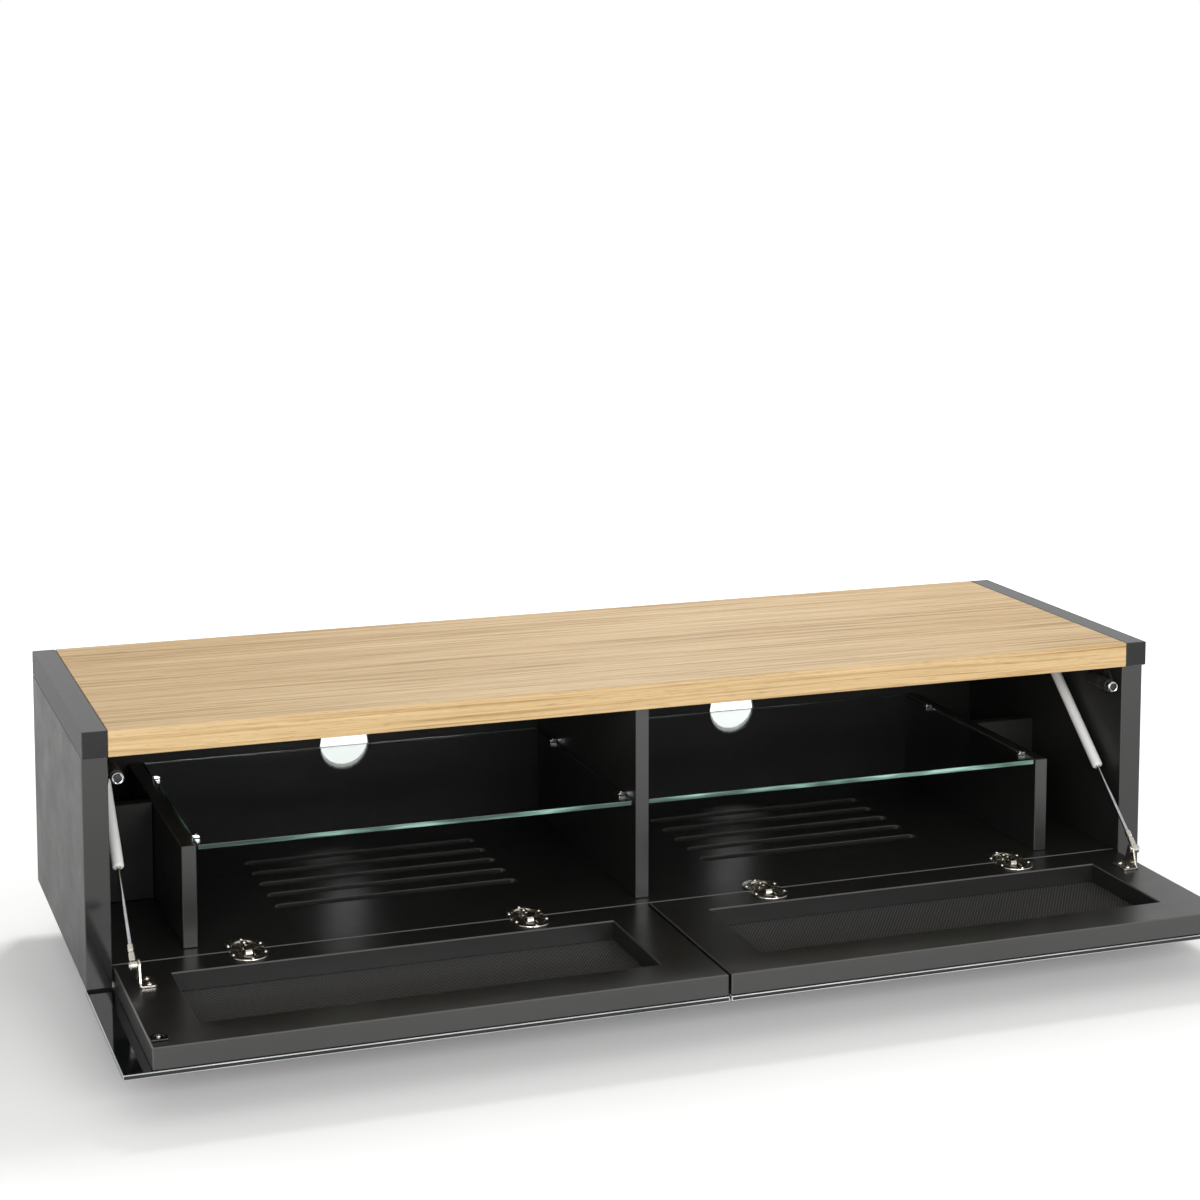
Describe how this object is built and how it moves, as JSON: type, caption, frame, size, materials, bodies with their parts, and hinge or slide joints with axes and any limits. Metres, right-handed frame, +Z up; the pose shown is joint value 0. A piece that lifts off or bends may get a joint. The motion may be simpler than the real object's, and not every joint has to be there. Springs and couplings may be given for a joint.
{
  "type": "media cabinet",
  "caption": "Low media cabinet with an oak top, black carcass, glass shelves and drop-down glazed doors held by gas struts.",
  "frame": {"origin": "centre of the footprint of the cabinet with its doors let down, on the floor", "axes": "+X to the viewer's right along the width, +Y to the back, +Z up"},
  "size_m": [1.2, 0.596, 0.317],
  "materials": {
    "oak_veneer": "satin lacquered light oak veneer, straight grain along the length",
    "gloss_lacquer": "gloss black lacquer",
    "satin_lacquer": "satin black lacquer on fibreboard",
    "shelf_glass": "clear float glass with green polished edges",
    "door_glass": "black-backed float glass with polished edges",
    "grille_mesh": "fine black perforated mesh",
    "satin_nickel": "satin nickel plate",
    "chrome": "bright chrome plate",
    "silver_paint": "silver paint on a steel tube",
    "black_plastic": "moulded black plastic"
  },
  "bodies": {
    "cabinet": {"top_panel": "oak_veneer", "top_strip_left": "gloss_lacquer", "top_strip_right": "gloss_lacquer", "bottom_panel": "satin_lacquer", "centre_divider": "satin_lacquer", "back_panel": "satin_lacquer", "side_panel_left": "satin_lacquer", "partition_left": "satin_lacquer", "bay_back_left": "satin_lacquer", "glass_shelf_left": "shelf_glass", "shelf_clip_left_front_inner": "chrome", "shelf_clip_left_front_outer": "chrome", "shelf_clip_left_back_inner": "chrome", "shelf_clip_left_back_outer": "chrome", "hinge_board_left_inner": "satin_nickel", "hinge_board_left_outer": "satin_nickel", "strut_bracket_top_left": "satin_nickel", "latch_body_left": "black_plastic", "side_panel_right": "satin_lacquer", "partition_right": "satin_lacquer", "bay_back_right": "satin_lacquer", "glass_shelf_right": "shelf_glass", "shelf_clip_right_front_inner": "chrome", "shelf_clip_right_front_outer": "chrome", "shelf_clip_right_back_inner": "chrome", "shelf_clip_right_back_outer": "chrome", "hinge_board_right_inner": "satin_nickel", "hinge_board_right_outer": "satin_nickel", "strut_bracket_top_right": "satin_nickel", "latch_body_right": "black_plastic", "foot_front_left": "black_plastic", "foot_front_middle": "black_plastic", "foot_front_right": "black_plastic", "foot_back_left": "black_plastic", "foot_back_middle": "black_plastic", "foot_back_right": "black_plastic"},
    "door_left": {"door_frame_left": "satin_lacquer", "door_mesh_left": "grille_mesh", "door_glass_left": "door_glass", "hinge_cup_left_inner": "satin_nickel", "hinge_cup_left_outer": "satin_nickel", "strut_bracket_door_left": "satin_nickel", "strike_plate_left": "satin_nickel"},
    "strut_tube_left": {"strut_tube_left": "silver_paint"},
    "strut_rod_left": {"strut_rod_left": "chrome"},
    "latch_plunger_left": {"latch_plunger_left": "chrome"},
    "door_right": {"door_frame_right": "satin_lacquer", "door_mesh_right": "grille_mesh", "door_glass_right": "door_glass", "hinge_cup_right_inner": "satin_nickel", "hinge_cup_right_outer": "satin_nickel", "strut_bracket_door_right": "satin_nickel", "strike_plate_right": "satin_nickel"},
    "strut_tube_right": {"strut_tube_right": "silver_paint"},
    "strut_rod_right": {"strut_rod_right": "chrome"},
    "latch_plunger_right": {"latch_plunger_right": "chrome"}
  },
  "joints": [
    {"name": "left_door", "type": "hinge", "parent": "cabinet", "child": "door_left", "pos_m": [-0.2866, -0.0765, 0.0665], "axis": [-1, 0, 0], "range_deg": [0, 90]},
    {"name": "left_strut_swing", "type": "hinge", "parent": "cabinet", "child": "strut_tube_left", "pos_m": [-0.5615, 0.07, 0.267], "axis": [1, 0, 0], "range_deg": [0, 9.85]},
    {"name": "left_strut_slide", "type": "slide", "parent": "strut_tube_left", "child": "strut_rod_left", "axis": [0, 0.7512, 0.6601], "range_m": [0, 0.07238]},
    {"name": "left_latch_press", "type": "slide", "parent": "cabinet", "child": "latch_plunger_left", "axis": [0, 1, 0], "range_m": [0, 0.0035]},
    {"name": "right_door", "type": "hinge", "parent": "cabinet", "child": "door_right", "pos_m": [0.2866, -0.0765, 0.0665], "axis": [-1, 0, 0], "range_deg": [0, 90]},
    {"name": "right_strut_swing", "type": "hinge", "parent": "cabinet", "child": "strut_tube_right", "pos_m": [0.5615, 0.07, 0.267], "axis": [1, 0, 0], "range_deg": [0, 9.85]},
    {"name": "right_strut_slide", "type": "slide", "parent": "strut_tube_right", "child": "strut_rod_right", "axis": [0, 0.7512, 0.6601], "range_m": [0, 0.07238]},
    {"name": "right_latch_press", "type": "slide", "parent": "cabinet", "child": "latch_plunger_right", "axis": [0, 1, 0], "range_m": [0, 0.0035]}
  ],
  "couplings": [
    {"joint": "left_strut_swing", "follows": "left_door", "ratio": 0.10938},
    {"joint": "left_strut_slide", "follows": "left_door", "m_per_rad": 0.046013},
    {"joint": "left_latch_press", "follows": "left_door", "m_per_rad": 0.002165},
    {"joint": "right_strut_swing", "follows": "right_door", "ratio": 0.10938},
    {"joint": "right_strut_slide", "follows": "right_door", "m_per_rad": 0.046013},
    {"joint": "right_latch_press", "follows": "right_door", "m_per_rad": 0.002165}
  ]
}
